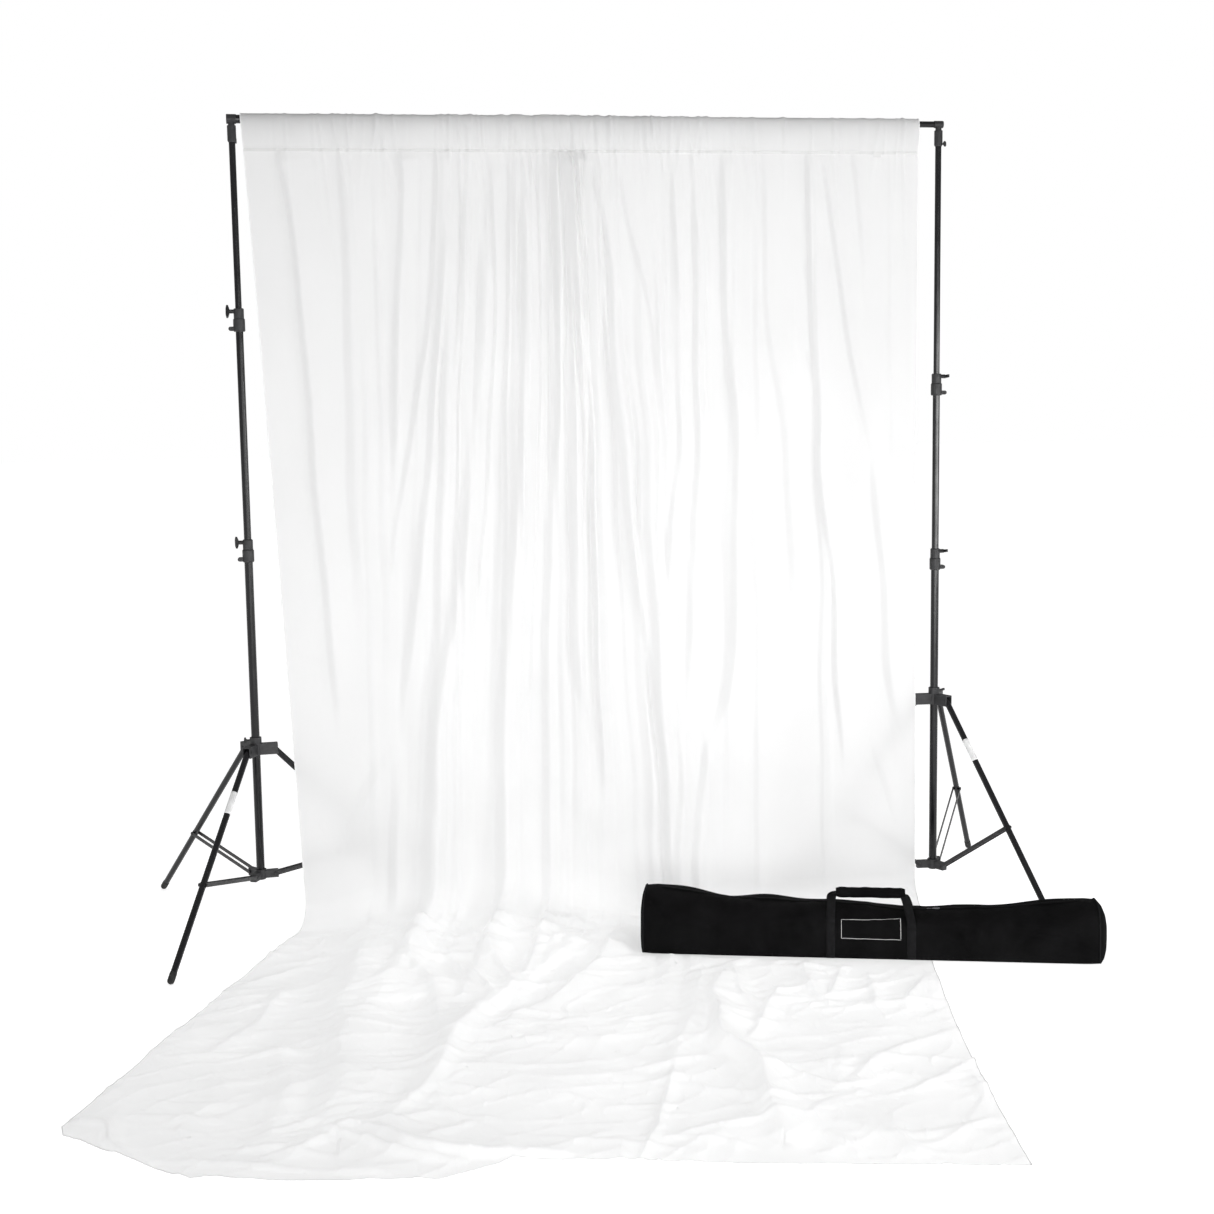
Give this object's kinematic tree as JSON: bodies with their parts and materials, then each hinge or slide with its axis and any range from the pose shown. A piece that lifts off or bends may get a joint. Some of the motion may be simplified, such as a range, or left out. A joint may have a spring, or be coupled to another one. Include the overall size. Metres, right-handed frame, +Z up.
{
  "type": "background support system",
  "caption": "Backdrop support: folding light stands joined by a telescopic crossbar, holding a muslin that hangs and sweeps along the floor, with a carry bag.",
  "frame": {"origin": "on the floor at the middle of the footprint of the whole kit", "axes": "+Z up, +X along the crossbar from the left stand to the right stand, -Y towards the side the backdrop is used from"},
  "size_m": [2.8538, 2.5676, 2.4566],
  "materials": {
    "tube_paint": "satin",
    "leg_paint": "satin",
    "casting": "matte",
    "knob_plastic": "satin",
    "strut_paint": "satin",
    "foot_rubber": "matte",
    "muslin": "matte",
    "bag_fabric": "matte",
    "webbing": "matte",
    "zip_metal": "satin"
  },
  "bodies": {
    "left_base": {"left_lower_bracket": "casting", "left_lower_tube": "tube_paint", "left_lower_collar": "casting", "muslin_drop": "muslin", "muslin_sweep": "muslin"},
    "right_base": {"right_lower_bracket": "casting", "right_lower_tube": "tube_paint", "right_lower_collar": "casting"},
    "crossbar": {"crossbar_left_section": "tube_paint", "crossbar_left_end": "casting", "muslin_pocket": "muslin"},
    "crossbar_middle": {"crossbar_middle_section": "tube_paint"},
    "crossbar_right": {"crossbar_right_section": "tube_paint", "crossbar_right_end": "casting"},
    "crossbar_lock_1": {"crossbar_lock_1": "knob_plastic"},
    "crossbar_lock_2": {"crossbar_lock_2": "knob_plastic"},
    "left_middle": {"left_middle_tube": "tube_paint", "left_upper_collar": "casting"},
    "left_top": {"left_top_tube": "tube_paint", "left_top_sleeve": "casting"},
    "left_hub": {"left_hub": "casting"},
    "left_leg_1": {"left_leg_1": "leg_paint", "left_foot_cap_1": "foot_rubber"},
    "left_strut_1": {"left_strut_1": "strut_paint"},
    "left_leg_2": {"left_leg_2": "leg_paint", "left_foot_cap_2": "foot_rubber"},
    "left_strut_2": {"left_strut_2": "strut_paint"},
    "left_leg_3": {"left_leg_3": "leg_paint", "left_foot_cap_3": "foot_rubber"},
    "left_strut_3": {"left_strut_3": "strut_paint"},
    "left_hub_knob": {"left_hub_knob": "knob_plastic"},
    "left_lower_collar_knob": {"left_lower_collar_knob": "knob_plastic"},
    "left_upper_collar_knob": {"left_upper_collar_knob": "knob_plastic"},
    "left_sleeve_knob": {"left_sleeve_knob": "knob_plastic"},
    "right_middle": {"right_middle_tube": "tube_paint", "right_upper_collar": "casting"},
    "right_top": {"right_top_tube": "tube_paint", "right_top_sleeve": "casting"},
    "right_hub": {"right_hub": "casting"},
    "right_leg_1": {"right_leg_1": "leg_paint", "right_foot_cap_1": "foot_rubber"},
    "right_strut_1": {"right_strut_1": "strut_paint"},
    "right_leg_2": {"right_leg_2": "leg_paint", "right_foot_cap_2": "foot_rubber"},
    "right_strut_2": {"right_strut_2": "strut_paint"},
    "right_leg_3": {"right_leg_3": "leg_paint", "right_foot_cap_3": "foot_rubber"},
    "right_strut_3": {"right_strut_3": "strut_paint"},
    "right_hub_knob": {"right_hub_knob": "knob_plastic"},
    "right_lower_collar_knob": {"right_lower_collar_knob": "knob_plastic"},
    "right_upper_collar_knob": {"right_upper_collar_knob": "knob_plastic"},
    "right_sleeve_knob": {"right_sleeve_knob": "knob_plastic"},
    "bag": {"bag_body": "bag_fabric", "bag_band_left": "webbing", "bag_band_right": "webbing", "bag_handle_web_left": "webbing", "bag_handle_web_right": "webbing"},
    "bag_grip": {"bag_grip": "webbing"},
    "bag_zip_slider": {"bag_zip_slider": "zip_metal"}
  },
  "joints": [
    {"name": "crossbar_height", "type": "slide", "parent": "left_base", "child": "crossbar", "axis": [0, 0, 1], "range_m": [-1.04, 0.32], "deforming": ["muslin_drop"]},
    {"name": "crossbar_width", "type": "slide", "parent": "crossbar", "child": "crossbar_right", "axis": [1, 0, 0], "range_m": [0, 1.412]},
    {"name": "crossbar_middle_slide", "type": "slide", "parent": "crossbar", "child": "crossbar_middle", "axis": [1, 0, 0], "range_m": [-0.001, 0.707]},
    {"name": "right_stand_slide", "type": "slide", "parent": "left_base", "child": "right_base", "axis": [1, 0, 0], "range_m": [-0.001, 1.413]},
    {"name": "crossbar_lock_1_turn", "type": "hinge", "parent": "crossbar", "child": "crossbar_lock_1", "pos_m": [0.21113, 0.8062, 2.44], "axis": [1, 0, 0], "range_deg": [0, 90]},
    {"name": "crossbar_lock_2_turn", "type": "hinge", "parent": "crossbar_middle", "child": "crossbar_lock_2", "pos_m": [0.68213, 0.8062, 2.44], "axis": [1, 0, 0], "range_deg": [0, 90]},
    {"name": "left_middle_slide", "type": "slide", "parent": "left_base", "child": "left_middle", "axis": [0, 0, 1], "range_m": [-0.5626, 0.1738]},
    {"name": "left_top_slide", "type": "slide", "parent": "left_middle", "child": "left_top", "axis": [0, 0, 1], "range_m": [-0.4794, 0.1482]},
    {"name": "left_legs_fold", "type": "slide", "parent": "left_base", "child": "left_hub", "axis": [0, 0, 1], "range_m": [0, 0.39024]},
    {"name": "left_leg_1_hinge", "type": "hinge", "parent": "left_hub", "child": "left_leg_1", "pos_m": [-0.97218, 0.81198, 0.5538], "axis": [-0.105, 0.9945, 0], "range_deg": [-0.1, 44]},
    {"name": "left_strut_1_hinge", "type": "hinge", "parent": "left_base", "child": "left_strut_1", "pos_m": [-0.98212, 0.81093, 0.1602], "axis": [0.105, -0.9945, 0], "range_deg": [-0.1, 76.66]},
    {"name": "left_leg_2_hinge", "type": "hinge", "parent": "left_hub", "child": "left_leg_2", "pos_m": [-1.05922, 0.85068, 0.5538], "axis": [-0.8087, -0.5882, 0], "range_deg": [-0.1, 44]},
    {"name": "left_strut_2_hinge", "type": "hinge", "parent": "left_base", "child": "left_strut_2", "pos_m": [-1.05334, 0.84259, 0.1602], "axis": [0.8087, 0.5882, 0], "range_deg": [-0.1, 76.66]},
    {"name": "left_leg_3_hinge", "type": "hinge", "parent": "left_hub", "child": "left_leg_3", "pos_m": [-1.04922, 0.75594, 0.5538], "axis": [0.9138, -0.4063, 0], "range_deg": [-0.1, 44]},
    {"name": "left_strut_3_hinge", "type": "hinge", "parent": "left_base", "child": "left_strut_3", "pos_m": [-1.04515, 0.76508, 0.1602], "axis": [-0.9138, 0.4063, 0], "range_deg": [-0.1, 76.66]},
    {"name": "left_hub_knob_turn", "type": "hinge", "parent": "left_hub", "child": "left_hub_knob", "pos_m": [-1.02687, 0.8062, 0.5828], "axis": [-1, 0, 0], "range_deg": [0, 360]},
    {"name": "left_lower_collar_knob_turn", "type": "hinge", "parent": "left_base", "child": "left_lower_collar_knob", "pos_m": [-1.02687, 0.8062, 1.1906], "axis": [-1, 0, 0], "range_deg": [0, 360]},
    {"name": "left_upper_collar_knob_turn", "type": "hinge", "parent": "left_middle", "child": "left_upper_collar_knob", "pos_m": [-1.02687, 0.8062, 1.881], "axis": [-1, 0, 0], "range_deg": [0, 360]},
    {"name": "left_sleeve_knob_turn", "type": "hinge", "parent": "left_top", "child": "left_sleeve_knob", "pos_m": [-1.02687, 0.8062, 2.38], "axis": [0.2588, 0.9659, 0], "range_deg": [0, 360]},
    {"name": "right_middle_slide", "type": "slide", "parent": "right_base", "child": "right_middle", "axis": [0, 0, 1], "range_m": [-0.4482, 0.1386]},
    {"name": "right_top_slide", "type": "slide", "parent": "right_middle", "child": "right_top", "axis": [0, 0, 1], "range_m": [-0.5938, 0.1834]},
    {"name": "right_legs_fold", "type": "slide", "parent": "right_base", "child": "right_hub", "axis": [0, 0, 1], "range_m": [0, 0.23412]},
    {"name": "right_leg_1_hinge", "type": "hinge", "parent": "right_hub", "child": "right_leg_1", "pos_m": [1.17156, 0.85201, 0.621], "axis": [-0.8329, 0.5534, 0], "range_deg": [-0.1, 36.03]},
    {"name": "right_strut_1_hinge", "type": "hinge", "parent": "right_base", "child": "right_strut_1", "pos_m": [1.16603, 0.84368, 0.07128], "axis": [0.8329, -0.5534, 0], "range_deg": [-0.1, 54.82]},
    {"name": "right_leg_2_hinge", "type": "hinge", "parent": "right_hub", "child": "right_leg_2", "pos_m": [1.08624, 0.80965, 0.621], "axis": [-0.0628, -0.998, 0], "range_deg": [-0.1, 36.03]},
    {"name": "right_strut_2_hinge", "type": "hinge", "parent": "right_base", "child": "right_strut_2", "pos_m": [1.09622, 0.80903, 0.07128], "axis": [0.0628, 0.998, 0], "range_deg": [-0.1, 54.82]},
    {"name": "right_leg_3_hinge", "type": "hinge", "parent": "right_hub", "child": "right_leg_3", "pos_m": [1.16558, 0.75694, 0.621], "axis": [0.8957, 0.4446, 0], "range_deg": [-0.1, 36.03]},
    {"name": "right_strut_3_hinge", "type": "hinge", "parent": "right_base", "child": "right_strut_3", "pos_m": [1.16114, 0.76589, 0.07128], "axis": [-0.8957, -0.4446, 0], "range_deg": [-0.1, 54.82]},
    {"name": "right_hub_knob_turn", "type": "hinge", "parent": "right_hub", "child": "right_hub_knob", "pos_m": [1.14113, 0.8062, 0.65], "axis": [1, 0, 0], "range_deg": [0, 360]},
    {"name": "right_lower_collar_knob_turn", "type": "hinge", "parent": "right_base", "child": "right_lower_collar_knob", "pos_m": [1.14113, 0.8062, 1.10167], "axis": [1, 0, 0], "range_deg": [0, 360]},
    {"name": "right_upper_collar_knob_turn", "type": "hinge", "parent": "right_middle", "child": "right_upper_collar_knob", "pos_m": [1.14113, 0.8062, 1.659], "axis": [1, 0, 0], "range_deg": [0, 360]},
    {"name": "right_sleeve_knob_turn", "type": "hinge", "parent": "right_top", "child": "right_sleeve_knob", "pos_m": [1.14113, 0.8062, 2.38], "axis": [0.9063, -0.4226, 0], "range_deg": [0, 360]},
    {"name": "bag_lift", "type": "slide", "parent": "left_base", "child": "bag", "axis": [0, 0, 1], "range_m": [0, 1]},
    {"name": "bag_handle_drop", "type": "slide", "parent": "bag", "child": "bag_grip", "axis": [0, 0, 1], "range_m": [-0.013, 0], "deforming": ["bag_handle_web_left", "bag_handle_web_right"]},
    {"name": "bag_zip_slide", "type": "slide", "parent": "bag", "child": "bag_zip_slider", "axis": [0.9584, -0.2712, 0.0888], "range_m": [0, 0.37]}
  ],
  "couplings": [
    {"joint": "crossbar_middle_slide", "follows": "crossbar_width", "ratio": 0.5},
    {"joint": "right_stand_slide", "follows": "crossbar_width", "ratio": 1},
    {"joint": "left_middle_slide", "follows": "crossbar_height", "ratio": 0.54},
    {"joint": "left_top_slide", "follows": "crossbar_height", "ratio": 0.46},
    {"joint": "left_leg_1_hinge", "follows": "left_legs_fold", "rad_per_m": 1.9634},
    {"joint": "left_strut_1_hinge", "follows": "left_legs_fold", "rad_per_m": 3.4239},
    {"joint": "left_leg_2_hinge", "follows": "left_legs_fold", "rad_per_m": 1.9634},
    {"joint": "left_strut_2_hinge", "follows": "left_legs_fold", "rad_per_m": 3.4239},
    {"joint": "left_leg_3_hinge", "follows": "left_legs_fold", "rad_per_m": 1.9634},
    {"joint": "left_strut_3_hinge", "follows": "left_legs_fold", "rad_per_m": 3.4239},
    {"joint": "right_middle_slide", "follows": "crossbar_height", "ratio": 0.43},
    {"joint": "right_top_slide", "follows": "crossbar_height", "ratio": 0.57},
    {"joint": "right_leg_1_hinge", "follows": "right_legs_fold", "rad_per_m": 2.6789},
    {"joint": "right_strut_1_hinge", "follows": "right_legs_fold", "rad_per_m": 4.0791},
    {"joint": "right_leg_2_hinge", "follows": "right_legs_fold", "rad_per_m": 2.6789},
    {"joint": "right_strut_2_hinge", "follows": "right_legs_fold", "rad_per_m": 4.0791},
    {"joint": "right_leg_3_hinge", "follows": "right_legs_fold", "rad_per_m": 2.6789},
    {"joint": "right_strut_3_hinge", "follows": "right_legs_fold", "rad_per_m": 4.0791}
  ]
}
